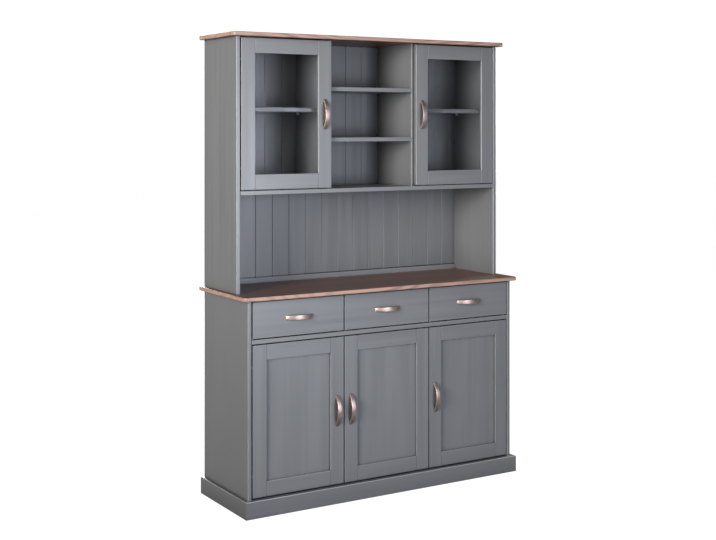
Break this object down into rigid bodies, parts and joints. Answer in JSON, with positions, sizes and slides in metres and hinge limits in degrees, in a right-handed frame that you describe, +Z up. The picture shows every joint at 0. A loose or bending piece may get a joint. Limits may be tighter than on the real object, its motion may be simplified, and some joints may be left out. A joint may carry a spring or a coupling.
{
  "type": "buffet cabinet",
  "caption": "Tall painted wooden buffet cabinet with panelled doors and drawers under a stained worktop, and a hutch above with glazed doors, open shelves and a boarded back.",
  "frame": {"origin": "on the floor, under the middle of the cabinet's overall width and depth, handles included", "axes": "+X to the cabinet's right seen from the front, +Y to the back, +Z up; the front faces -Y"},
  "size_m": [1.41, 0.454, 2],
  "materials": {
    "painted_wood": "satin grey paint, with a faint brushed grain",
    "stained_wood": "reddish brown stain under satin lacquer",
    "bare_wood": "sealed pale wood",
    "clear_glass": "clear and polished",
    "rose_metal": "satin rose bronze",
    "hinge_steel": "nickel plated, satin"
  },
  "bodies": {
    "carcass": {"base_side_left": "painted_wood", "base_side_right": "painted_wood", "base_bottom": "painted_wood", "base_deck": "painted_wood", "base_partition": "painted_wood", "base_back": "painted_wood", "drawer_divider_left": "painted_wood", "drawer_divider_right": "painted_wood", "plinth_front": "painted_wood", "plinth_ends": "painted_wood", "worktop": "stained_wood", "base_shelf_double": "painted_wood", "base_shelf_single": "painted_wood", "hutch_side_left": "painted_wood", "hutch_side_right": "painted_wood", "cornice_board": "stained_wood", "hutch_bottom": "painted_wood", "hutch_partition_left": "painted_wood", "hutch_partition_right": "painted_wood", "hutch_back_upper": "painted_wood", "hutch_back_lower": "painted_wood", "hutch_rear_rail": "painted_wood", "bay_shelves": "painted_wood", "glass_cupboard_shelves": "painted_wood", "shelf_pins": "hinge_steel", "hinge_arms": "hinge_steel"},
    "drawer_left": {"drawer_left_front": "painted_wood", "drawer_left_box": "bare_wood", "drawer_left_bottom": "bare_wood", "drawer_left_handle": "rose_metal"},
    "drawer_centre": {"drawer_centre_front": "painted_wood", "drawer_centre_box": "bare_wood", "drawer_centre_bottom": "bare_wood", "drawer_centre_handle": "rose_metal"},
    "drawer_right": {"drawer_right_front": "painted_wood", "drawer_right_box": "bare_wood", "drawer_right_bottom": "bare_wood", "drawer_right_handle": "rose_metal"},
    "door_left": {"door_left_frame": "painted_wood", "door_left_panel": "painted_wood", "door_left_handle": "rose_metal", "door_left_hinge_cups": "hinge_steel"},
    "door_centre": {"door_centre_frame": "painted_wood", "door_centre_panel": "painted_wood", "door_centre_handle": "rose_metal", "door_centre_hinge_cups": "hinge_steel"},
    "door_right": {"door_right_frame": "painted_wood", "door_right_panel": "painted_wood", "door_right_handle": "rose_metal", "door_right_hinge_cups": "hinge_steel"},
    "glass_door_left": {"glass_door_left_frame": "painted_wood", "glass_door_left_pane": "clear_glass", "glass_door_left_beads": "painted_wood", "glass_door_left_handle": "rose_metal", "glass_door_left_hinge_cups": "hinge_steel"},
    "glass_door_right": {"glass_door_right_frame": "painted_wood", "glass_door_right_pane": "clear_glass", "glass_door_right_beads": "painted_wood", "glass_door_right_handle": "rose_metal", "glass_door_right_hinge_cups": "hinge_steel"}
  },
  "joints": [
    {"name": "drawer_left_slide", "type": "slide", "parent": "carcass", "child": "drawer_left", "axis": [0, -1, 0], "range_m": [0, 0.3]},
    {"name": "drawer_centre_slide", "type": "slide", "parent": "carcass", "child": "drawer_centre", "axis": [0, -1, 0], "range_m": [0, 0.3]},
    {"name": "drawer_right_slide", "type": "slide", "parent": "carcass", "child": "drawer_right", "axis": [0, -1, 0], "range_m": [0, 0.3]},
    {"name": "door_left_hinge", "type": "hinge", "parent": "carcass", "child": "door_left", "pos_m": [-0.65, -0.192, 0.3905], "axis": [0, 0, 1], "range_deg": [-95, 0]},
    {"name": "door_centre_hinge", "type": "hinge", "parent": "carcass", "child": "door_centre", "pos_m": [0.21067, -0.192, 0.3905], "axis": [0, 0, 1], "range_deg": [0, 95]},
    {"name": "door_right_hinge", "type": "hinge", "parent": "carcass", "child": "door_right", "pos_m": [0.65, -0.192, 0.3905], "axis": [0, 0, 1], "range_deg": [0, 95]},
    {"name": "glass_door_left_hinge", "type": "hinge", "parent": "carcass", "child": "glass_door_left", "pos_m": [-0.65, -0.087, 1.658], "axis": [0, 0, 1], "range_deg": [-95, 0]},
    {"name": "glass_door_right_hinge", "type": "hinge", "parent": "carcass", "child": "glass_door_right", "pos_m": [0.65, -0.087, 1.658], "axis": [0, 0, 1], "range_deg": [0, 95]}
  ]
}
